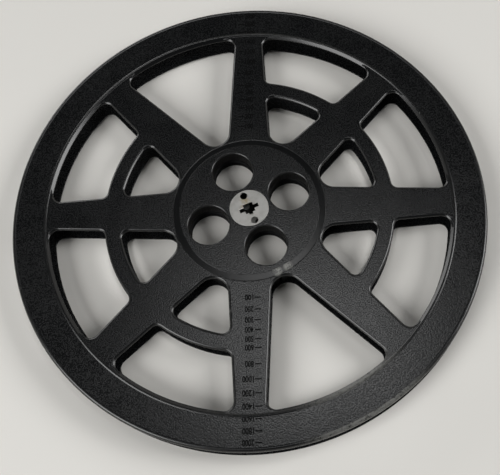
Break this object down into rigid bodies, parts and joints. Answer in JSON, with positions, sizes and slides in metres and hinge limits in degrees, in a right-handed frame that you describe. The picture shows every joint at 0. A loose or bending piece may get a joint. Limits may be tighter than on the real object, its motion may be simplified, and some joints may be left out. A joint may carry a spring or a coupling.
{
  "type": "cine film reel",
  "caption": "Empty cine film reel: windowed, spoked plastic flanges on a winding drum, with finger holes in the raised hub and flush steel spindle plates with keyed holes.",
  "frame": {"origin": "on the spindle axis, at the surface that the reel lies on with its front up", "axes": "+Z along the spindle axis out of the front, the side with the square spindle hole; -Y along the front's scale spoke; spokes lie at multiples of 45 degrees"},
  "size_m": [0.381, 0.381, 0.0228],
  "materials": {
    "moulded_plastic": "black, fine moulded texture with smooth bevels",
    "spindle_steel": "satin pressed steel"
  },
  "bodies": {
    "root": {"front_flange": "moulded_plastic", "back_flange": "moulded_plastic", "winding_drum": "moulded_plastic", "front_hub_cap": "moulded_plastic", "back_hub_cap": "moulded_plastic", "front_spindle_plate": "spindle_steel", "back_spindle_plate": "spindle_steel"}
  },
  "joints": []
}
